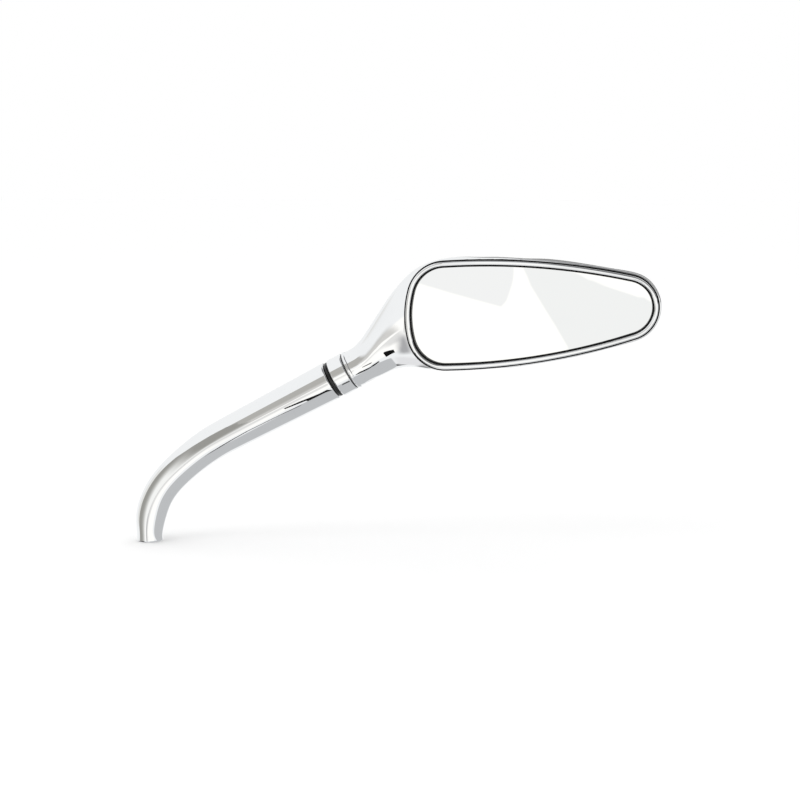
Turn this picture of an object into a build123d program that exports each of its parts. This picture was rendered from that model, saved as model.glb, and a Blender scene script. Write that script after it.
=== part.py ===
from build123d import *
import os
from math import cos, radians, sin, sqrt

# A chromed motorcycle mirror: a curved arm that screws onto a stud, and a teardrop head that turns
# on a pivot at the far end of the arm. All sizes are in millimetres.
# Frame: the origin is the middle of the arm's flat end, +Z runs up the threaded hole, +X runs
# towards the head, and the mirror looks towards -Y.

# Arm: one casting on a planar path, a short upright, a bend, a long sweep and a straight
base_diameter = 15.8
bend_diameter = 18.8
joint_diameter = 22.6
base_straight = 6.0
bend_radius = 45.5
bend_heading = 47.5
sweep_radius = 131.0
joint_heading = 28.0
top_straight = 71.0
base_rounding = 0.8
joint_rounding = 1.0
thread_diameter = 10.0
thread_depth = 22.0
arm_sections = 12

# Pivot at the end of the arm, from the arm outwards along the joint's axis
stud_diameter = 8.0
stud_grip = 17.0
stud_end_chamfer = 0.8
stud_beyond_nut = 2.0
spigot_diameter = 14.0
spigot_length = 7.0
ring_diameter = 21.4
ring_thickness = 2.6
collar_diameter = 22.8
collar_length = 9.0
collar_rounding = 0.7
friction_diameter = 21.4
friction_bore = 12.0
friction_thickness = 0.7
bush_diameter = 11.0
bush_flange_diameter = 14.6
bush_flange_thickness = 1.5
thrust_diameter = 15.4
thrust_thickness = 1.5
spring_diameter = 15.4
spring_thickness = 0.9
spring_cone = 0.5
nut_across_flats = 13.0
nut_hex_height = 6.5
nut_crown_height = 1.8
nut_crown_wall = 0.9
nut_ring_width = 1.2

# Clearances
seat_clearance = 0.05
running_clearance = 0.05
pocket_clearance = 0.1

# Teardrop outline of the glass that shows, in the plane of the face
corner_radius = 18.0
corner_spacing = 18.4
tip_radius = 14.8
tip_reach = 101.8
tip_rise = 5.6
neck_flank_radius = 53.0
top_flank_radius = 394.0
bottom_flank_radius = 374.0

# Place of the head: from the end of the arm to midway between the two corners
head_reach = 67.5
head_rise = 39.3
face_forward = 14.5

# Edge of the face, as offsets outwards from the glass that shows
glass_cover = 0.9
bezel_inner = 1.0
gasket_edge = 1.0
bezel_width = 2.3
bezel_skirt = 1.0
seal_show = 0.85
flange_wall = 1.2
ledge_width = 2.4
shell_overhang = 0.85

# Layers of the face, from its parting plane
bezel_height = 2.4
gasket_lip = 1.0
bezel_rounding = 1.0
seal_thickness = 0.8
seal_rounding = 0.25
flange_depth = 9.0
glass_bulge = 0.7
glass_radius = 1400.0
glass_thickness = 2.5
plate_setback = 4.0
plate_thickness = 2.0
skirt_end_gap = 0.3
pad_inset = 1.5

# Housing: neck, shoulder and bowl
neck_radius = 10.9
neck_length = 4.3
neck_lip_radius = 11.4
neck_lip_length = 2.2
neck_lip_rounding = 0.8
neck_web = 14.0
chamber_diameter = 16.6
chamber_length = 32.0
shoulder_top_handles = (18.0, 32.0)
shoulder_bottom_handles = (11.4, 14.0)
barrel_end = ((42.0, 10.5), (43.0, 10.0))
bowl_setback = 9.0
bowl_back = 19.5
bowl_back_at_tip = 14.0
bowl_front_at_neck = 14.0
bowl_front = 60.0
housing_wall = 2.5
housing_edge_rounding = 0.7

# Screws of the backing plate
screw_diameter = 2.9
screw_head_diameter = 5.8
screw_head_height = 1.6
screw_length = 10.0
screw_slot_width = 0.8
screw_slot_depth = 0.8
boss_diameter = 7.5
screw_corner_offset = 6.0

# Offsets of the parallel outlines, worked out from the edge sizes
glass_offset = glass_cover
gasket_offset = glass_offset + gasket_edge
skirt_inner_offset = gasket_offset + pocket_clearance
skirt_outer_offset = skirt_inner_offset + bezel_skirt
pocket_offset = skirt_outer_offset + seat_clearance
bezel_offset = bezel_inner + bezel_width
seal_offset = bezel_offset + seal_show
flange_offset = pocket_offset + flange_wall
shell_offset = seal_offset + shell_overhang
plate_offset = pocket_offset - pocket_clearance
ledge_offset = pocket_offset - ledge_width

# Depths of the face along Y
face_y = -face_forward
seal_front_y = face_y - seal_thickness
plate_front_y = face_y + plate_setback
ledge_y = plate_front_y + plate_thickness
bowl_y = face_y + bowl_setback
beyond_back_y = bowl_y + 2 * bowl_back

# Stations along the joint's axis, from the end face of the arm
collar_start = ring_thickness
collar_end = collar_start + collar_length
neck_start = collar_end + friction_thickness
neck_end = neck_start + neck_length
bush_end = neck_start + neck_web
thrust_start = bush_end + bush_flange_thickness
spring_start = thrust_start + thrust_thickness
spring_stack = 2 * (spring_cone + spring_thickness)
nut_start = spring_start + spring_stack
nut_hex_end = nut_start + nut_hex_height
nut_end = nut_hex_end + nut_crown_height
stud_end = nut_end + stud_beyond_nut
stud_radius = stud_diameter / 2


def heading(degrees):
    """Unit vector in the plane of the arm, turned up from +X."""
    return Vector(cos(radians(degrees)), 0, sin(radians(degrees)))


def arm_path():
    """Centre line of the arm, from its flat end to the joint."""
    upright = Line((0, 0, 0), (0, 0, base_straight))
    bend_turn = 90 - bend_heading
    bend_centre = upright @ 1 + bend_radius * heading(0)
    bend = ThreePointArc(
        upright @ 1,
        bend_centre + bend_radius * heading(180 - bend_turn / 2),
        bend_centre + bend_radius * heading(180 - bend_turn),
    )
    sweep_turn = bend_heading - joint_heading
    sweep_start_angle = 90 + bend_heading
    sweep_centre = bend @ 1 - sweep_radius * heading(sweep_start_angle)
    long_sweep = ThreePointArc(
        bend @ 1,
        sweep_centre + sweep_radius * heading(sweep_start_angle - sweep_turn / 2),
        sweep_centre + sweep_radius * heading(sweep_start_angle - sweep_turn),
    )
    straight = Line(long_sweep @ 1, long_sweep @ 1 + top_straight * heading(joint_heading))
    return Wire([upright, bend, long_sweep, straight])


path = arm_path()
joint_point = path @ 1
joint_axis = heading(joint_heading)
joint_across = heading(joint_heading + 90)
joint = Location(Plane(origin=joint_point, x_dir=(0, 1, 0), z_dir=joint_axis))


def rod(radius, start, end):
    """Cylinder along the joint's axis, before it is placed at the joint."""
    return Pos(0, 0, start) * Cylinder(radius, end - start, align=(Align.CENTER, Align.CENTER, Align.MIN))


def tube(outer, inner, start, end):
    """Plain ring along the joint's axis, before it is placed at the joint."""
    return rod(outer, start, end) - rod(inner, start, end)


def turned(points):
    """Solid turned about the joint's axis from a closed outline of (radius, along) points."""
    outline = Polyline(*[(radius, 0, along) for radius, along in points], close=True)
    return revolve(make_face(outline), Axis.Z)


# Teardrop outlines: three corner circles joined by three large flank arcs that hold them inside
head_x = joint_point.X + head_reach
head_z = joint_point.Z + head_rise
upper_corner = Vector(head_x, 0, head_z + corner_spacing / 2)
lower_corner = Vector(head_x, 0, head_z - corner_spacing / 2)
tip = Vector(head_x + tip_reach, 0, head_z + tip_rise)
corners = [(upper_corner, corner_radius), (lower_corner, corner_radius), (tip, tip_radius)]
flank_radii = [neck_flank_radius, bottom_flank_radius, top_flank_radius]


def flank_centre(first, first_radius, second, second_radius, flank_radius):
    """Centre of the flank arc that touches both corner circles from outside the outline."""
    chord = second - first
    to_first = flank_radius - first_radius
    to_second = flank_radius - second_radius
    along = (to_first**2 - to_second**2 + chord.length**2) / (2 * chord.length)
    across = sqrt(to_first**2 - along**2)
    unit = chord.normalized()
    return first + along * unit + across * Vector(-unit.Z, 0, unit.X)


flank_centres = [
    flank_centre(*corners[index], *corners[(index + 1) % 3], flank_radii[index]) for index in range(3)
]
bottom_flank, top_flank = flank_centres[1], flank_centres[2]


def outline(offset, y):
    """Teardrop face, grown outwards by offset from the glass that shows, at depth y."""
    edges = []
    depth = Vector(0, y, 0)
    for index, (corner, radius) in enumerate(corners):
        following, following_radius = corners[(index + 1) % 3]
        before = (corner - flank_centres[index - 1]).normalized()
        after = (corner - flank_centres[index]).normalized()
        into_next = (following - flank_centres[index]).normalized()
        start = corner + (radius + offset) * before
        turn = corner + (radius + offset) * (before + after).normalized()
        leave = corner + (radius + offset) * after
        middle = flank_centres[index] + (flank_radii[index] + offset) * (after + into_next).normalized()
        arrive = following + (following_radius + offset) * into_next
        edges.append(ThreePointArc(start + depth, turn + depth, leave + depth))
        edges.append(ThreePointArc(leave + depth, middle + depth, arrive + depth))
    return make_face(Wire(edges))


def slab(offset, y_from, y_to):
    """Teardrop slab between two depths."""
    return extrude(outline(offset, y_from), amount=y_to - y_from, dir=(0, 1, 0))


def blend(start, end, share):
    """Smooth change from start to end as share goes from 0 to 1."""
    return start + (end - start) * share * share * (3 - 2 * share)


# Outer and inner form of the housing: one loft from the round neck to the tip of the teardrop.
# A station is the top and bottom of a section, the depth of its middle, and its two half depths.
def head_station(share, offset):
    """Upright section of the bowl, with share 0 at the corners and 1 at the tip's centre."""
    x = head_x + share * tip_reach
    top_z = top_flank.Z + sqrt((top_flank_radius + offset) ** 2 - (x - top_flank.X) ** 2)
    bottom_z = bottom_flank.Z - sqrt((bottom_flank_radius + offset) ** 2 - (x - bottom_flank.X) ** 2)
    front = blend(bowl_front_at_neck, bowl_front, min(1, 2 * share))
    back = bowl_back + (bowl_back_at_tip - bowl_back) * share**2 + offset - shell_offset
    return Vector(x, 0, top_z), Vector(x, 0, bottom_z), bowl_y, front, back


def tip_station(angle, offset):
    """Upright section of the rounded tip, by its angle round the tip's circle."""
    radius = tip_radius + offset
    x = tip.X + radius * sin(radians(angle))
    half_height = radius * cos(radians(angle))
    front = bowl_front * cos(radians(angle))
    back = (bowl_back_at_tip + offset - shell_offset) * cos(radians(angle))
    return Vector(x, 0, tip.Z + half_height), Vector(x, 0, tip.Z - half_height), bowl_y, front, back


neck_point = joint_point + neck_end * joint_axis
bowl_top, bowl_bottom = head_station(0, shell_offset)[:2]
top_direction = Vector(bowl_top.Z - top_flank.Z, 0, top_flank.X - bowl_top.X).normalized()
bottom_direction = Vector(bottom_flank.Z - bowl_bottom.Z, 0, bowl_bottom.X - bottom_flank.X).normalized()
neck_top = neck_point + neck_radius * joint_across
shoulder_top = Bezier(
    neck_top,
    neck_top + shoulder_top_handles[0] * joint_axis,
    bowl_top - shoulder_top_handles[1] * top_direction,
    bowl_top,
)
neck_bottom = neck_point - neck_radius * joint_across
shoulder_bottom = Bezier(
    neck_bottom,
    neck_bottom + shoulder_bottom_handles[0] * joint_axis,
    *[joint_point + along * joint_axis - below * joint_across for along, below in barrel_end],
    bowl_bottom - shoulder_bottom_handles[1] * bottom_direction,
    bowl_bottom,
)


def shoulder_station(share, wall):
    """Leaning section of the shoulder, with share 0 at the neck and 1 at the bowl."""
    top = shoulder_top @ share
    bottom = shoulder_bottom @ share
    inwards = wall * (bottom - top).normalized()
    middle = blend(0, bowl_y, share)
    reach = neck_radius + (bowl_front_at_neck - bowl_y - neck_radius) * share**4
    front = reach + middle
    back = blend(neck_radius, bowl_back, share)
    return top + inwards, bottom - inwards, middle, front - wall, back - wall


def section(station):
    """Face of a station: two half ellipses, a front and a back one, that meet at top and bottom."""
    top, bottom, middle, front, back = station
    half_height = (top - bottom).length / 2
    up = (top - bottom).normalized()
    centre = (top + bottom) / 2 + Vector(0, middle, 0)
    back_half = EllipticalCenterArc((0, 0), half_height, back, 0, arc_size=180)
    front_half = EllipticalCenterArc((0, 0), half_height, front, 180, arc_size=180)
    plane = Plane(origin=centre, x_dir=up, z_dir=up.cross(Vector(0, 1, 0)))
    return plane * make_face([back_half, front_half])


def bowl_stations(offset):
    """Stations of the bowl and its rounded tip."""
    bowl = [head_station(share, offset) for share in (0, 0.25, 0.5, 0.75, 1)]
    end = [tip_station(angle, offset) for angle in (25, 50, 70)]
    return bowl + end


def tip_vertex(offset):
    """Point that closes the loft at the tip."""
    return Vertex(tip.X + tip_radius + offset, bowl_y, tip.Z)


def housing_form():
    """Outer form of the neck, shoulder and bowl, cut off flat at the face and rounded there."""
    shoulder = [shoulder_station(share, 0) for share in (0, 0.2, 0.4, 0.6, 0.8)]
    faces = [section(station) for station in shoulder + bowl_stations(shell_offset)]
    body = loft([*faces, tip_vertex(shell_offset)])
    body += slab(flange_offset, face_y - bezel_height, face_y + flange_depth)
    body = split(body, Plane(origin=(0, face_y, 0), z_dir=(0, 1, 0)), keep=Keep.TOP)
    lip = rod(neck_lip_radius, neck_start, neck_start + neck_lip_length)
    lip = fillet(lip.edges(), neck_lip_rounding)
    body += joint * (rod(neck_radius, neck_start, neck_end) + lip)
    return fillet(body.edges().group_by(Axis.Y)[0], housing_edge_rounding)


def housing_cavity():
    """Hollow of the bowl behind the ledge that carries the backing plate."""
    offset = shell_offset - housing_wall
    shoulder = [shoulder_station(share, housing_wall) for share in (0.6, 0.8)]
    faces = [section(station) for station in shoulder + bowl_stations(offset)]
    hollow = loft([*faces, tip_vertex(offset)])
    return hollow & slab(ledge_offset, ledge_y, beyond_back_y)


screw_places = [
    (upper_corner.X, upper_corner.Z + screw_corner_offset),
    (lower_corner.X, lower_corner.Z - screw_corner_offset),
    (tip.X, tip.Z),
]


def screw_location(place):
    """Place on the front of the backing plate, with the local Z axis running backwards."""
    x, z = place
    return Location(Plane(origin=(x, plate_front_y, z), x_dir=(1, 0, 0), z_dir=(0, 1, 0)))


def screw_shape(clearance):
    """Countersunk screw, or its hole, from its head to its point."""
    shank = screw_diameter / 2 + clearance
    rim = screw_head_diameter / 2 + clearance
    length = screw_length + clearance
    return turned([(0, 0), (rim, 0), (shank, screw_head_height), (shank, length), (0, length)])


def make_housing():
    """One moulding: neck with its bore, shoulder, bowl, ledge and screw bosses."""
    form = housing_form()
    body = form - slab(pocket_offset, face_y, ledge_y) - housing_cavity()
    for place in screw_places:
        boss = screw_location(place) * rod(boss_diameter / 2, plate_thickness, beyond_back_y - plate_front_y)
        body += boss & form
    for place in screw_places:
        body -= screw_location(place) * screw_shape(seat_clearance)
    body -= joint * rod(bush_diameter / 2 + seat_clearance, neck_start, bush_end)
    body -= joint * rod(chamber_diameter / 2, bush_end, bush_end + chamber_length)
    return body


def make_arm():
    """Tapered casting along the path, with a threaded end and a spigot for the rubber ring."""
    bend_length = path.edges()[0].length + path.edges()[1].length
    sections = []
    for step in range(arm_sections + 1):
        along = path.length * step / arm_sections
        if along < bend_length:
            diameter = bend_diameter - (bend_diameter - base_diameter) * (1 - along / bend_length) ** 2
        else:
            share = (along - bend_length) / (path.length - bend_length)
            diameter = bend_diameter + (joint_diameter - bend_diameter) * share
        place = path.position_at(along, PositionMode.LENGTH)
        direction = path.tangent_at(along, PositionMode.LENGTH)
        sections.append(Plane(origin=place, x_dir=(0, 1, 0), z_dir=direction) * Circle(diameter / 2))
    body = loft(sections)
    body = fillet(body.edges().sort_by(Axis.Z)[0], base_rounding)
    body = fillet(body.edges().sort_by(Axis(joint_point, joint_axis))[-1], joint_rounding)
    body += joint * rod(spigot_diameter / 2, 0, spigot_length)
    body -= joint * rod(stud_radius + seat_clearance, -stud_grip, spigot_length)
    body -= Cylinder(thread_diameter / 2, thread_depth, align=(Align.CENTER, Align.CENTER, Align.MIN))
    return body


def make_pivot_stud():
    """Stud screwed into the end of the arm, chamfered at both ends."""
    stud = rod(stud_radius, -stud_grip, stud_end)
    return joint * chamfer(stud.edges(), stud_end_chamfer)


def make_o_ring():
    """Rubber ring, flat where it is pinched and round outside."""
    inner = spigot_diameter / 2 + seat_clearance
    outer = ring_diameter / 2
    shoulder = outer - ring_thickness / 2
    profile = [
        Polyline((shoulder, 0, ring_thickness), (inner, 0, ring_thickness), (inner, 0, 0), (shoulder, 0, 0)),
        ThreePointArc((shoulder, 0, 0), (outer, 0, ring_thickness / 2), (shoulder, 0, ring_thickness)),
    ]
    return joint * revolve(make_face(profile), Axis.Z)


def make_collar():
    """Chromed ring over the spigot, with rounded ends."""
    body = rod(collar_diameter / 2, collar_start, collar_end)
    body = fillet(body.edges(), collar_rounding)
    body -= rod(stud_radius + seat_clearance, collar_start, collar_end)
    body -= rod(spigot_diameter / 2 + seat_clearance, collar_start, spigot_length + seat_clearance)
    return joint * body


def make_friction_washer():
    """Plastic washer that the neck turns against."""
    return joint * tube(friction_diameter / 2, friction_bore / 2, collar_end, neck_start)


def make_pivot_bush():
    """Flanged bush pressed into the neck from inside."""
    bore = stud_radius + running_clearance
    sleeve = tube(bush_diameter / 2, bore, neck_start, bush_end)
    return joint * (sleeve + tube(bush_flange_diameter / 2, bore, bush_end, thrust_start))


def make_thrust_washer():
    """Steel washer between the bush and the springs."""
    return joint * tube(thrust_diameter / 2, stud_radius + seat_clearance, thrust_start, spring_start)


def make_disc_springs():
    """Two coned washers, rim to rim."""
    bore = stud_radius + seat_clearance
    rim = spring_diameter / 2
    middle = spring_start + spring_stack / 2
    lower = [
        (bore, spring_start),
        (rim, spring_start + spring_cone),
        (rim, middle),
        (bore, spring_start + spring_thickness),
    ]
    upper = [(radius, 2 * middle - along) for radius, along in lower]
    return [joint * turned(lower), joint * turned(upper)]


nut_bore = stud_radius + seat_clearance
nut_ring_radius = nut_bore + nut_ring_width
nut_crown_radius = nut_ring_radius + seat_clearance + nut_crown_wall


def make_lock_nut():
    """Hexagon nut with a round crown for its locking ring."""
    hexagon = RegularPolygon(nut_across_flats / 2, 6, major_radius=False)
    body = Pos(0, 0, nut_start) * extrude(hexagon, nut_hex_height) - rod(nut_bore, nut_start, nut_hex_end)
    return joint * (body + tube(nut_crown_radius, nut_ring_radius + seat_clearance, nut_hex_end, nut_end))


def make_lock_nut_ring():
    """Plastic ring that grips the stud."""
    return joint * tube(nut_ring_radius, nut_bore, nut_hex_end, nut_end)


def make_backing_plate():
    """Plate on the ledge of the housing, countersunk for its screws."""
    body = slab(plate_offset, plate_front_y, ledge_y)
    for place in screw_places:
        body -= screw_location(place) * screw_shape(seat_clearance)
    return body


def make_backing_screws():
    """Three countersunk screws with cross slots."""
    half_slot = screw_head_diameter / 3
    screws = []
    for place in screw_places:
        screw = screw_shape(0)
        for size in ((half_slot * 2, screw_slot_width), (screw_slot_width, half_slot * 2)):
            screw -= Box(*size, 2 * screw_slot_depth)
        screws.append(screw_location(place) * screw)
    return screws


glass_centre = outline(0, 0).center(CenterOf.BOUNDING_BOX)
bulge_centre = Pos(glass_centre.X, face_y - glass_bulge + glass_radius, glass_centre.Z)


def glass_shape(clearance):
    """Evenly thick convex glass, or the room that it needs."""
    front = face_y - glass_bulge - clearance
    body = slab(glass_offset + clearance, front, plate_front_y) & (bulge_centre * Sphere(glass_radius + clearance))
    return body - bulge_centre * Sphere(glass_radius - glass_thickness - clearance)


def make_glass_gasket():
    """Rubber channel round the edge of the glass."""
    body = slab(gasket_offset, face_y - gasket_lip, plate_front_y)
    body -= slab(0, face_y - gasket_lip, plate_front_y)
    return body - glass_shape(seat_clearance)


def make_adhesive_pad():
    """Foam between the hollow back of the glass and the flat plate."""
    back_radius = glass_radius - glass_thickness - seat_clearance
    return slab(-pad_inset, face_y, plate_front_y) & (bulge_centre * Sphere(back_radius))


def make_rim_seal():
    """Rubber ring on the front edge of the housing, pinched under the crown of the bezel."""
    body = slab(seal_offset, seal_front_y, face_y) - slab(pocket_offset, seal_front_y, face_y)
    return fillet(body.edges().group_by(Axis.Y)[0], seal_rounding)


def make_bezel():
    """Trim ring: a rounded crown with a lip over the gasket and a skirt in the housing."""
    front = face_y - bezel_height
    crown = slab(bezel_offset, front, seal_front_y) - slab(bezel_inner, front, seal_front_y)
    crown = fillet(crown.edges().group_by(Axis.Y)[0], bezel_rounding)
    skirt = slab(skirt_outer_offset, seal_front_y, plate_front_y - skirt_end_gap)
    room = slab(skirt_inner_offset, face_y - gasket_lip, plate_front_y)
    return crown + skirt - room


nodes = {
    "arm": make_arm(),
    "pivot_stud": make_pivot_stud(),
    "o_ring": make_o_ring(),
    "collar": make_collar(),
    "friction_washer": make_friction_washer(),
    "housing": make_housing(),
    "pivot_bush": make_pivot_bush(),
    "thrust_washer": make_thrust_washer(),
    "disc_springs": make_disc_springs(),
    "lock_nut": make_lock_nut(),
    "lock_nut_ring": make_lock_nut_ring(),
    "backing_plate": make_backing_plate(),
    "backing_screws": make_backing_screws(),
    "adhesive_pad": make_adhesive_pad(),
    "mirror_glass": glass_shape(0),
    "glass_gasket": make_glass_gasket(),
    "rim_seal": make_rim_seal(),
    "bezel": make_bezel(),
}

os.makedirs("parts", exist_ok=True)
for name, shape in nodes.items():
    solids = shape if isinstance(shape, list) else [shape]
    export_step(Compound([solid for piece in solids for solid in piece.solids()]), f"parts/{name}.step")
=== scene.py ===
# %% [markdown]
# A chromed motorcycle mirror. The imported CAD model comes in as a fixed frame, and this lesson dresses it:
# each solid gets the finish of the real part, the fine thread is cut into the foot of the arm, and the
# mirror is set in the white light tent that chrome is photographed in.

# %% Load the mirror
import math

import bpy
import numpy as np
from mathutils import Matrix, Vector


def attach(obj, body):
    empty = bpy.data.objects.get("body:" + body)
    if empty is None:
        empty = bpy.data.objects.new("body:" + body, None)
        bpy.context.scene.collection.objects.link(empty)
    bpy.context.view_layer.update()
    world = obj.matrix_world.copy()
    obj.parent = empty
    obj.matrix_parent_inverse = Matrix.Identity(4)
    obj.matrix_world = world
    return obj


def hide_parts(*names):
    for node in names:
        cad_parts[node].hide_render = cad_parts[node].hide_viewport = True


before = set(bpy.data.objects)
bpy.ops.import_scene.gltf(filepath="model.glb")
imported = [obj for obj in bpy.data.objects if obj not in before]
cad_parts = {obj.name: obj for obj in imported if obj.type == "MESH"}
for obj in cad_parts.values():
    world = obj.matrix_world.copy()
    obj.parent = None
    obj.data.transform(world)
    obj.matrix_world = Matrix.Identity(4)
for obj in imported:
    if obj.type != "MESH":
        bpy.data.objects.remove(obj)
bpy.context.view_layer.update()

scene = bpy.context.scene
print("pieces in the frame:", ", ".join(sorted(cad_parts)))

# %% [markdown]
# A finish is a small sum over the surface: a bit more grain here, a bit less shine there. Wiring each sum
# by hand hides it, so this class lets a socket be added and multiplied as a number is, and adds the Math
# nodes itself. Every other node comes from its one method, `node`.

# %% Sums on sockets
class Shade:
    """An output of a shader node. Sums of it add Math nodes to its tree."""

    def __init__(self, tree, socket=None):
        self.tree = tree
        self.socket = socket

    def node(self, kind, settings, inputs, output=0):
        made = self.tree.nodes.new(kind)
        for setting, value in settings.items():
            setattr(made, setting, value)
        for name, value in inputs.items():
            socket = made.inputs[name]
            if isinstance(value, Shade):
                self.tree.links.new(value.socket, socket)
            elif socket.type == "RGBA":
                socket.default_value = (*value, 1)
            else:
                socket.default_value = value
        return Shade(self.tree, made.outputs[output] if made.outputs else None)

    def sum(self, operation, first, second):
        return self.node("ShaderNodeMath", {"operation": operation}, {0: first, 1: second})

    def __add__(self, other):
        return self.sum("ADD", self, other)

    def __radd__(self, other):
        return self.sum("ADD", other, self)

    def __sub__(self, other):
        return self.sum("SUBTRACT", self, other)

    def __rsub__(self, other):
        return self.sum("SUBTRACT", other, self)

    def __mul__(self, other):
        return self.sum("MULTIPLY", self, other)

    def __rmul__(self, other):
        return self.sum("MULTIPLY", other, self)

    def mix(self, under, over):
        """The colour `over` laid on `under` as far as this value reaches."""
        return self.node("ShaderNodeMix", {"data_type": "RGBA"}, {0: self, 6: under, 7: over}, 2)

    def step(self, start, end):
        """0 up to start, 1 from end, and a soft step between them."""
        return self.node("ShaderNodeMapRange", {"interpolation_type": "SMOOTHSTEP"},
                         {"Value": self, "From Min": start, "From Max": end})


print("shader sums ready")

# %% [markdown]
# Every finish starts in the same way: an empty material, and the coordinates of the object, which sit
# still on the surface because no piece is ever moved from the origin. Noise at a scale that is given in
# millimetres keeps the grain of each finish at its real size.

# %% A place to start a finish
def start_finish(name):
    material = bpy.data.materials.new(name)
    material.use_nodes = True
    material.node_tree.nodes.clear()
    return material, Shade(material.node_tree)


def noise(tree, grain_mm, detail, stretch=(1, 1, 1)):
    """Noise from 0 to 1 whose blotches are about grain_mm across."""
    place = tree.node("ShaderNodeTexCoord", {}, {}, "Object")
    place = tree.node("ShaderNodeMapping", {}, {"Vector": place, "Scale": stretch})
    return tree.node("ShaderNodeTexNoise", {},
                     {"Vector": place, "Scale": 1000 / grain_mm, "Detail": detail}, "Fac")


def bump(tree, height, depth_mm, strength):
    return tree.node("ShaderNodeBump", {},
                     {"Height": height, "Distance": depth_mm / 1000, "Strength": strength})


def end_finish(tree, inputs):
    shader = tree.node("ShaderNodeBsdfPrincipled", {}, inputs)
    tree.node("ShaderNodeOutputMaterial", {}, {"Surface": shader})


def dress(material, *names):
    for name in names:
        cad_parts[name].material_slots[0].material = material
    print(material.name, "on", ", ".join(names))


print("helpers for finishes ready")

# %% [markdown]
# Bright chrome is a thin hard metal skin over polished nickel. It hardly has a colour, and what the eye
# sees is the room. Two things keep it from looking like a computer's mirror: the polish leaves a faint
# wave in the skin, and handling leaves a thin haze that softens some patches of the reflection.

# %% Chrome plating
def make_chrome():
    material, tree = start_finish("chrome_plating")
    haze = noise(tree, 24, 3).step(0.48, 0.72)
    wipes = noise(tree, 2.2, 4, (1, 1, 0.12)).step(0.55, 0.8)
    tone = (0.6 * haze + 0.4 * wipes).mix((0.945, 0.95, 0.955), (0.915, 0.92, 0.93))
    wave = bump(tree, noise(tree, 30, 1), 0.02, 0.2)
    end_finish(tree, {"Base Color": tone, "Metallic": 1.0, "Normal": wave,
                      "Roughness": 0.022 + 0.018 * haze + 0.012 * wipes})
    return material


chrome = make_chrome()
dress(chrome, "arm", "collar", "housing", "bezel")

# %% [markdown]
# The two big castings come in as uneven triangles. Their corners lie on the true surface, but the normal
# at each corner is a mean over the triangles round it, so it leans a little. Paint would hide that, but
# chrome shows it: the edge of a lamp turns into a saw. A copy keeps the shape and gets better normals.
# Through each corner and its neighbours goes a small curved patch, z = ax + by + cx2 + dxy + ey2, and the
# patch that fits best says which way the metal faces there. The faces of the casting don't share corners
# yet, so no patch reaches round an edge. They are merged after the normals are found.

# %% Neighbours of each corner
patch_points = 24


def neighbours_of(triangles, count):
    """Points up to two triangles away from each point, as rows of equal length."""
    ring = [set() for _ in range(count)]
    for triangle in triangles.tolist():
        for corner in triangle:
            ring[corner].update(triangle)
    rows = np.empty((count, patch_points), int)
    for point in range(count):
        wide = set().union(*[ring[other] for other in ring[point]]) - {point}
        rows[point] = (sorted(wide) * patch_points)[:patch_points]
    return rows


print("points in a patch:", patch_points)

# %% Normals of the patches
# a neighbour counts less the further off it is, and not at all where the metal has turned too far
patch_falloff = 1.5
patch_turn = math.radians(20)
largest_lean = math.radians(5)
# keeps the solve steady where the neighbours lie almost in a row
steadying = 1e-5
# makes a direction that is never along the normal
askew = (0.3, 0.1, 0.2)


def patch_normals(places, normals, rows):
    """Normals of the curved patches through each place and its neighbours."""
    across = np.cross(normals, np.roll(normals, 1, axis=1) + askew)
    across /= np.linalg.norm(across, axis=1, keepdims=True)
    along = np.cross(normals, across)
    offsets = places[rows] - places[:, None]
    reach = np.linalg.norm(offsets, axis=2)
    scale = np.median(reach, axis=1)[:, None]
    x, y, z = [np.einsum("nkc,nc->nk", offsets, axis) / scale for axis in (across, along, normals)]
    facing = np.einsum("nkc,nc->nk", normals[rows], normals)
    weight = np.exp(-(reach / scale / patch_falloff) ** 2) * (facing > math.cos(patch_turn))
    terms = np.stack([x, y, x * x, x * y, y * y], axis=2)
    weighted = terms * weight[:, :, None]
    square = np.einsum("nki,nkj->nij", weighted, terms) + steadying * np.eye(5)
    answer = np.linalg.solve(square, np.einsum("nki,nk->ni", weighted, z)[:, :, None])[:, :, 0]
    found = normals - answer[:, :1] * across - answer[:, 1:2] * along
    found /= np.linalg.norm(found, axis=1, keepdims=True)
    lean = np.arccos(np.clip((found * normals).sum(axis=1), -1, 1))
    return np.where(lean[:, None] < largest_lean, found, normals), lean


print("largest lean that is mended, in degrees:", round(math.degrees(largest_lean)))

# %% Polish the castings
merge_distance = 1e-7


def only_active(piece):
    bpy.ops.object.select_all(action="DESELECT")
    piece.select_set(True)
    bpy.context.view_layer.objects.active = piece


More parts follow.
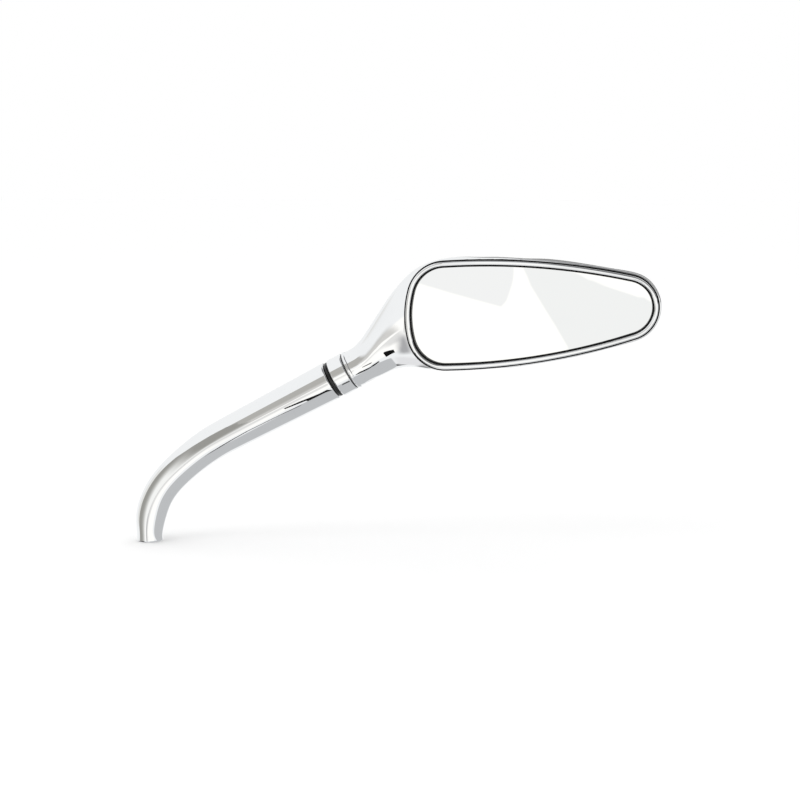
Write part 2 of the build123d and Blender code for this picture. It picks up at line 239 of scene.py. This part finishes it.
def polish(name):
    """A copy of a casting, merged, with the normals of its patches."""
    piece = bpy.data.objects.new("polished_" + name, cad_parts[name].data.copy())
    scene.collection.objects.link(piece)
    mesh = piece.data
    corners = np.array([corner.vertex_index for corner in mesh.loops])
    places = np.array([point.co for point in mesh.vertices])
    normals = np.empty_like(places)
    normals[corners] = [corner.vector for corner in mesh.corner_normals]
    normals, lean = patch_normals(places, normals, neighbours_of(corners.reshape(-1, 3), len(places)))
    note = mesh.attributes.new("facing", "FLOAT_VECTOR", "CORNER")
    note.data.foreach_set("vector", normals[corners].ravel())
    only_active(piece)
    bpy.ops.object.mode_set(mode="EDIT")
    bpy.ops.mesh.select_all(action="SELECT")
    bpy.ops.mesh.remove_doubles(threshold=merge_distance)
    bpy.ops.object.mode_set(mode="OBJECT")
    facing = np.empty(3 * len(mesh.loops))
    mesh.attributes["facing"].data.foreach_get("vector", facing)
    mesh.attributes.remove(mesh.attributes["facing"])
    mesh.normals_split_custom_set(facing.reshape(-1, 3))
    leans = np.degrees(np.percentile(lean, [50, 90, 99]))
    print(piece.name, "half, 90% and 99% of its normals lean less than", np.round(leans, 2), "degrees")
    return piece


for node, body in (("arm", "arm"), ("housing", "head")):
    casting = polish(node)
    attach(casting, body)
    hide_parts(node)

# %% [markdown]
# The ring at the joint and the two seals of the face are moulded black rubber, with a very fine grain from
# the mould and paler patches where wax has come to the surface. The ring is wiped with grease when it is
# fitted, so it shines. The seals are dry, and they stay black under the lamps.

# %% Moulded rubber
def make_rubber(name, shine, dullness):
    material, tree = start_finish(name)
    bloom = noise(tree, 6, 4).step(0.5, 0.8)
    grain = noise(tree, 0.35, 2)
    colour = bloom.mix((0.004, 0.004, 0.0045), (0.010, 0.010, 0.011))
    end_finish(tree, {"Base Color": colour, "Roughness": dullness + 0.14 * bloom + 0.06 * grain,
                      "Specular IOR Level": shine, "Normal": bump(tree, grain, 0.02, 0.4)})
    return material


dress(make_rubber("greased_rubber", 0.5, 0.12), "o_ring")
dress(make_rubber("dry_rubber", 0.08, 0.3), "glass_gasket", "rim_seal")

# %% [markdown]
# The glass is silvered on its back, so the reflection is that of silver, seen through a clear front face.
# A coat stands for that face. A little dust and a wiped haze are all that tell it from a hole in the ring.

# %% Mirror glass
def make_mirror():
    material, tree = start_finish("silvered_glass")
    dust = noise(tree, 0.5, 3).step(0.74, 0.82)
    wiped = noise(tree, 30, 3, (0.5, 1, 1.6)).step(0.45, 0.8)
    colour = (0.5 * dust + 0.3 * wiped).mix((0.965, 0.972, 0.968), (0.93, 0.935, 0.935))
    end_finish(tree, {"Base Color": colour, "Metallic": 1.0,
                      "Roughness": 0.006 + 0.01 * wiped + 0.05 * dust,
                      "Coat Weight": 0.4, "Coat Roughness": 0.01})
    return material


dress(make_mirror(), "mirror_glass")

# %% [markdown]
# The parts inside are seen only through a gap or in a section, yet each gets its own finish. The dark
# plastic has the fine spark pattern of a mould, the bush is milky nylon, the stud, nut, screws and washers
# are turned steel with rings of tool marks, and the pad is open-celled foam.

# %% Finishes of the parts inside
def make_dark_plastic():
    material, tree = start_finish("sparked_dark_plastic")
    grain = noise(tree, 0.6, 3)
    flow = noise(tree, 14, 2, (1, 1, 0.3))
    colour = flow.mix((0.016, 0.016, 0.017), (0.030, 0.030, 0.031))
    end_finish(tree, {"Base Color": colour, "Roughness": 0.42 + 0.2 * grain,
                      "Normal": bump(tree, grain, 0.03, 0.5)})
    return material


def make_nylon():
    material, tree = start_finish("milky_nylon")
    cloud = noise(tree, 5, 3)
    colour = cloud.mix((0.78, 0.76, 0.68), (0.70, 0.68, 0.60))
    end_finish(tree, {"Base Color": colour, "Roughness": 0.34 + 0.16 * cloud,
                      "Normal": bump(tree, noise(tree, 0.5, 2), 0.02, 0.4)})
    return material


def make_steel():
    material, tree = start_finish("turned_steel")
    marks = noise(tree, 0.5, 3, (1, 1, 0.2))
    stain = noise(tree, 7, 3).step(0.45, 0.8)
    colour = stain.mix((0.60, 0.60, 0.58), (0.50, 0.49, 0.46))
    end_finish(tree, {"Base Color": colour, "Metallic": 1.0,
                      "Roughness": 0.24 + 0.12 * marks + 0.1 * stain,
                      "Normal": bump(tree, marks, 0.015, 0.5)})
    return material


foam_cells_per_metre = 1400.0


def make_foam():
    material, tree = start_finish("foam_pad")
    place = tree.node("ShaderNodeTexCoord", {}, {}, "Object")
    cells = tree.node("ShaderNodeTexVoronoi", {},
                      {"Vector": place, "Scale": foam_cells_per_metre}, "Distance")
    pores = cells.step(0.2, 0.6)
    colour = pores.mix((0.05, 0.05, 0.052), (0.012, 0.012, 0.012))
    end_finish(tree, {"Base Color": colour, "Roughness": 0.86 + 0.1 * pores,
                      "Normal": bump(tree, cells, 0.2, 0.6)})
    return material


dress(make_dark_plastic(), "friction_washer", "backing_plate")
dress(make_nylon(), "pivot_bush", "lock_nut_ring")
steel = make_steel()
dress(steel, "pivot_stud", "thrust_washer", "disc_springs", "lock_nut", "backing_screws")
dress(make_foam(), "adhesive_pad")

# %% [markdown]
# The foot of the arm is tapped for an M10 stud, with a pitch of 1.25 mm. A thread is one small shape that
# climbs round the hole, which is what the Screw modifier makes from a profile. The profile starts as a
# plane, and the edge that faces the axis is pinched to the narrow crest of the thread.

# %% Select by place
def select_points(piece, test):
    """Leaves edit mode's selection on the points that pass the test."""
    bpy.ops.object.mode_set(mode="EDIT")
    bpy.ops.mesh.select_mode(type="VERT")
    bpy.ops.mesh.select_all(action="DESELECT")
    bpy.ops.object.mode_set(mode="OBJECT")
    for point in piece.data.vertices:
        point.select = test(point.co)
    bpy.ops.object.mode_set(mode="EDIT")


print("selection by place ready")

# %% Thread of the foot
thread_pitch = 0.00125
root_height = 0.82 * thread_pitch
crest_to_root = 0.25
bore_radius = 0.005
crest_radius = 0.00433
middle_radius = (bore_radius + crest_radius) / 2
thread_start = 0.0012
thread_turns = 16
thread_steps = 56
smooth_below = math.radians(25)


def make_thread():
    bpy.ops.object.select_all(action="DESELECT")
    bpy.ops.mesh.primitive_plane_add(size=1, rotation=(math.pi / 2, 0, 0))
    thread = bpy.context.object
    thread.name = "foot_thread"
    thread.dimensions = (bore_radius - crest_radius, root_height, 0)
    thread.location = (middle_radius, 0, thread_start)
    bpy.ops.object.transform_apply(location=True, rotation=True, scale=True)
    select_points(thread, lambda point: point.x < middle_radius)
    bpy.ops.transform.resize(value=(1, 1, crest_to_root), center_override=(crest_radius, 0, thread_start))
    bpy.ops.mesh.select_all(action="SELECT")
    bpy.ops.mesh.delete(type="ONLY_FACE")
    bpy.ops.object.mode_set(mode="OBJECT")
    screw = thread.modifiers.new("climb", "SCREW")
    screw.axis = "Z"
    screw.screw_offset = thread_pitch
    screw.iterations = thread_turns
    screw.steps = thread_steps
    screw.render_steps = thread_steps
    screw.use_merge_vertices = False
    only_active(thread)
    bpy.ops.object.modifier_apply(modifier="climb")
    bpy.ops.object.mode_set(mode="EDIT")
    bpy.ops.mesh.select_all(action="DESELECT")
    bpy.ops.mesh.select_non_manifold()
    bpy.ops.mesh.fill_holes(sides=4)
    bpy.ops.mesh.select_all(action="SELECT")
    bpy.ops.mesh.normals_make_consistent(inside=False)
    bpy.ops.object.mode_set(mode="OBJECT")
    bpy.ops.object.shade_smooth_by_angle(angle=smooth_below)
    thread.data.materials.append(steel)
    return thread


thread = make_thread()
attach(thread, "arm")
print("thread faces:", len(thread.data.polygons))

# %% [markdown]
# The floor is a wide sheet of white paper. It is lit, so it keeps the soft shadow of the mirror. The tent
# below paints what the chrome reflects, so the floor itself is left out of reflections.

# %% Paper floor
floor_size = 24
floor_place = (0.15, 0, -0.0002)


def make_floor():
    bpy.ops.object.select_all(action="DESELECT")
    bpy.ops.mesh.primitive_plane_add(size=floor_size, location=floor_place)
    floor = bpy.context.object
    floor.name = "paper_floor"
    bpy.ops.object.transform_apply(location=True)
    material, tree = start_finish("white_paper")
    camera_ray = tree.node("ShaderNodeLightPath", {}, {}, "Is Camera Ray")
    fibre = 0.02 * noise(tree, 3, 3)
    colour = camera_ray.mix(fibre.mix((0.9, 0.9, 0.9), (0.8, 0.8, 0.8)), (1, 1, 1))
    end_finish(tree, {"Base Color": colour, "Roughness": 0.95, "Specular IOR Level": 0.0})
    floor.data.materials.append(material)
    floor.visible_glossy = False
    return floor


make_floor()
print("paper floor, metres across:", floor_size)

# %% [markdown]
# Chrome is photographed inside a white tent, with a few grey and black cards hung in it, because white
# metal in a white room has no edges. Here the tent and its cards are painted on the world as a painted
# reflection: only reflections see them, and all other light from the world is plain white. Each card is
# given by the directions of its corners, as degrees to the right of the camera and above the horizon. A
# direction is inside a card when it is on the inner side of the plane through each edge, so a card is a
# product of soft steps.

# %% Cards of the tent
def direction(azimuth, elevation):
    turn = math.radians(azimuth)
    rise = math.radians(elevation)
    return Vector((math.sin(turn) * math.cos(rise), -math.cos(turn) * math.cos(rise), math.sin(rise)))


def card_mask(sight, corners, softness):
    points = [direction(*corner) for corner in corners]
    middle = sum(points, Vector())
    mask = 1.0
    for first, second, soft in zip(points, points[1:] + points[:1], softness):
        inward = first.cross(second).normalized()
        if inward.dot(middle) < 0:
            inward = -inward
        side = sight.node("ShaderNodeVectorMath", {"operation": "DOT_PRODUCT"},
                          {0: sight, 1: tuple(inward)}, "Value")
        mask = side.step(-soft, soft) * mask
    return mask


print("directions of the tent ready")

# %% [markdown]
# The cards are laid one over the other in this order. Large ones come first: the window in front, the
# table and the walls give the long bands of the arm. The two small ones at the end are the pale shapes
# in the mirror glass.

# %% Tent of light
# name: colour, corners, softness of each edge from the first corner on (the last number serves the rest)
cards = {
    "front window": (
        (1.08, 1.07, 1.04),
        [(-50, -6), (-12, 7), (30, 9), (62, -14), (60, -33), (-1, -35), (-34, -34), (-54, -22)], [0.04]),
    "paper under the left": (
        (0.80, 0.80, 0.81),
        [(-120, -46), (-60, -44), (4, -47), (30, -84), (-150, -84)], [0.10]),
    "dark floor on the left": (
        (0.04, 0.04, 0.04),
        [(-150, -23), (-58, -23), (-46, -42), (-60, -60), (-150, -60)], [0.05]),
    "grey table": (
        (0.53, 0.54, 0.55),
        [(2, -44), (50, -26), (80, 4), (150, 4), (168, -45), (150, -84), (40, -84)], [0.012, 0.02]),
    "horizon": (
        (0.05, 0.05, 0.05),
        [(72, 3), (164, 3), (164, 9), (72, 9)], [0.015]),
    "back card": (
        (0.30, 0.30, 0.30),
        [(166, -4), (186, -4), (186, 16), (166, 12)], [0.02]),
    "pale wall": (
        (0.80, 0.80, 0.78),
        [(-112, 26), (-60, 18), (-28, -2), (-45, -8), (-112, -12)], [0.05]),
    "warm wall": (
        (0.46, 0.452, 0.428),
        [(-46, 27), (-20, 48), (-6, 14), (-14, -2), (-17, -3)], [0.012, 0.03, 0.06, 0.10, 0.05]),
    "pale end of the wall": (
        (0.66, 0.65, 0.63),
        [(-24, 6), (-15, 6), (-12.6, -5), (-18, -7)], [0.10, 0.02, 0.02, 0.05]),
    "foot of the wall": (
        (0.80, 0.795, 0.78),
        [(-19, -8.4), (-5, -8.6), (-3, -19), (-15, -19)], [0.008, 0.05]),
    "right flag": (
        (0.20, 0.20, 0.20),
        [(2, 16), (60, 12), (125, 12), (125, 52), (60, 74), (4, 70)], [0.04]),
    "far table edge": (
        (0.42, 0.42, 0.43),
        [(-20, -13), (-13, -15), (-5, -34), (-8, -42), (-24, -40)], [0.09]),
    "window left": (
        (0.92, 0.92, 0.92),
        [(-14, -1.5), (-5.3, -3.75), (-4.9, -3.3), (-4.4, -1.8), (-4.3, 3), (-14, 3)], [0.0015]),
    "window right": (
        (0.91, 0.915, 0.91),
        [(-4.45, 0.05), (0.6, -7.9), (10, -8), (8, -4.05)], [0.0015]),
}
tent_white = (0.92, 0.93, 0.935)
ceiling_grey = (0.10, 0.10, 0.11)
ground_black = (0.06, 0.06, 0.06)


def make_tent():
    world = bpy.data.worlds.new("light_tent")
    world.use_nodes = True
    world.node_tree.nodes.clear()
    tree = Shade(world.node_tree)
    sight = tree.node("ShaderNodeTexCoord", {}, {}, "Generated")
    height = tree.node("ShaderNodeSeparateXYZ", {}, {0: sight}, "Z")
    # a painted reflection: tent white with a grey top and a black bottom, and the cards laid over it; only
    # glossy rays see it
    seen = height.step(0.80, 0.99).mix(tent_white, ceiling_grey)
    seen = (-1 * height).step(0.972, 0.99).mix(seen, ground_black)
    for colour, corners, softness in cards.values():
        softness = softness + softness[-1:] * (len(corners) - len(softness))
        seen = card_mask(sight, corners, softness).mix(seen, colour)
    glossy_ray = tree.node("ShaderNodeLightPath", {}, {}, "Is Glossy Ray")
    mirrored = tree.node("ShaderNodeBackground", {}, {"Color": seen, "Strength": 1.0})
    plain = tree.node("ShaderNodeBackground", {}, {"Color": (1, 1, 1), "Strength": 1.0})
    light = tree.node("ShaderNodeMixShader", {}, {0: glossy_ray, 1: plain, 2: mirrored})
    tree.node("ShaderNodeOutputWorld", {}, {"Surface": light})
    return world


scene.world = make_tent()
print("cards in the tent:", len(cards))

# %% [markdown]
# A card that hangs far off is mirrored all along the arm. Some reflections end half way, so what they show
# was near, and stands here as a card in the scene, which glows in its own colour as a painted reflection.
# It starts as a filled circle with as many points as the card has corners, and each point is moved to its
# corner. Only reflections show it, and only in metal that is nearer to it than its reach, so that it stays
# out of the mirror glass. Its corners are given in millimetres.

# %% Near cards
reach_fade = 0.05


def make_card(name, corners):
    bpy.ops.object.select_all(action="DESELECT")
    bpy.ops.mesh.primitive_circle_add(vertices=len(corners), fill_type="NGON")
    card = bpy.context.object
    card.name = name
    for point, corner in zip(card.data.vertices, corners):
        point.co = Vector(corner) / 1000
    card.data.update()
    card.visible_camera = False
    card.visible_diffuse = False
    card.visible_shadow = False
    material, tree = start_finish(name)
    card.data.materials.append(material)
    return tree


def paint_card(tree, colour, reach):
    # the card glows in its own colour, a painted reflection, and turns clear for rays longer than its reach
    length = tree.node("ShaderNodeLightPath", {}, {}, "Ray Length")
    far = length.step((1 - reach_fade) * reach, (1 + reach_fade) * reach)
    glow = tree.node("ShaderNodeEmission", {}, {"Color": colour, "Strength": 1.0})
    clear = tree.node("ShaderNodeBsdfTransparent", {}, {})
    surface = tree.node("ShaderNodeMixShader", {}, {0: far, 1: glow, 2: clear})
    tree.node("ShaderNodeOutputMaterial", {}, {"Surface": surface})


print("near cards ready")

# %% [markdown]
# The first stands upright beside the foot, on its left. The bend mirrors it, but the neck, higher up and
# further off, looks over its top edge. It darkens upwards and towards its rear edge, and pales at its far
# front end.

# %% Card beside the foot
foot_card_outline = [(-5, -100), (-10, 95), (-18, 131), (-40, 154), (-90, 167), (-156, 194), (-195, 230),
                     (-212, 245), (-290, 236), (-620, 105), (-880, -60), (-880, -100)]
foot_card_side = -150
foot_card_reach = 1.5
foot_card_pale = (0.96, 0.96, 0.94)
foot_card_dark = (0.335, 0.33, 0.31)


# the colour of a painted reflection, which the bend of the arm mirrors
def foot_card_colour(tree):
    place = tree.node("ShaderNodeTexCoord", {}, {}, "Object")
    depth = tree.node("ShaderNodeSeparateXYZ", {}, {0: place}, "Y")
    height = tree.node("ShaderNodeSeparateXYZ", {}, {0: place}, "Z")
    rear = depth.step(-0.27, -0.06)
    high = (height - 0.35 * depth).step(0.145, 0.235)
    front = depth.step(-0.95, -0.50)
    return (front * (rear + high - rear * high)).mix(foot_card_pale, foot_card_dark)


foot_card = make_card("foot_card", [(foot_card_side, y, z) for y, z in foot_card_outline])
paint_card(foot_card, foot_card_colour(foot_card), foot_card_reach)
print("corners of the foot card:", len(foot_card_outline))

# %% [markdown]
# The others lie flat below the joint and in front of it, cut to the shape of the dark streaks that they
# paint, as painted reflections, into the arm, the collar and the neck. The nearer a card is to the metal,
# the less of the mirror shows it.

# %% Dark cards below the joint
# name: brightness, reach in metres, height above the floor and outline from above in millimetres
dark_cards = {
    "arm_streak": (0.010, 0.06, 70, [(80, -41), (91, -42), (98, -39), (106, -37), (111, -40), (117, -26),
                                     (112, -29), (100, -25), (98, -30), (83, -32)]),
    "arm_line": (0.03, 0.12, 0.5, [(47, -52), (57, -76), (64, -90), (92, -93), (108, -86), (107, -77),
                                   (92, -84), (68, -81), (62, -70), (53, -52)]),
    "collar_line": (0.06, 0.05, 70, [(124, -34), (130, -34), (130, -28), (124, -28)]),
    "neck_streak": (0.010, 0.04, 90, [(127, -24), (131, -31), (140, -29), (145.5, -35.5), (146, -31),
                                      (143, -27), (138, -24.5)]),
    "upper_streak": (0.010, 0.031, 97, [(129.5, -39), (138, -35), (138.5, -31), (136, -31), (130, -34.5)]),
    "neck_patch": (0.008, 0.031, 103, [(143, -40), (143, -36), (144.5, -25), (145, -22), (147.5, -27),
                                       (146, -36)]),
}
# each card glows at its dark brightness and paints a dark streak into the reflections of the metal
for name, (brightness, reach, height, outline) in dark_cards.items():
    card = make_card(name, [(x, y, height) for x, y in outline])
    paint_card(card, (brightness, brightness, brightness), reach)
print("dark cards below the joint:", len(dark_cards))

# %% [markdown]
# One large soft lamp stands up on the left and gives the paper a hint of a shadow on the right. It is weak,
# because the tent already gives plain light.

# %% Key lamp
key_place = (-0.7, -0.9, 1.3)
key_target = (0.15, 0, 0.05)
key_size = 0.9
key_watts = 2.6


def make_key():
    bpy.ops.object.light_add(type="AREA", location=key_place)
    key = bpy.context.object
    key.name = "key"
    key.data.shape = "DISK"
    key.data.size = key_size
    key.data.energy = key_watts
    aim = Vector(key_target) - key.location
    key.rotation_euler = aim.to_track_quat("-Z", "Y").to_euler()
    key.visible_glossy = False


make_key()
scene.view_settings.view_transform = "Standard"
print("key lamp, watts:", key_watts)

# %% [markdown]
# The photograph was taken from a little to the right of the glass and a little above it, from far enough
# away that the lines hardly close in. The camera repeats that.

# %% Camera
photo_place = (0.28218, -1.07928, 0.21970)
photo_target = (0.14966, 0, 0.08619)


def make_camera():
    bpy.ops.object.camera_add(location=photo_place)
    camera = bpy.context.object
    camera.name = "photo_view"
    camera.data.lens = 85
    camera.data.sensor_width = 36
    aim = Vector(photo_target) - camera.location
    camera.rotation_euler = aim.to_track_quat("-Z", "Y").to_euler()
    return camera


scene.camera = make_camera()
print("camera lens in mm:", scene.camera.data.lens)
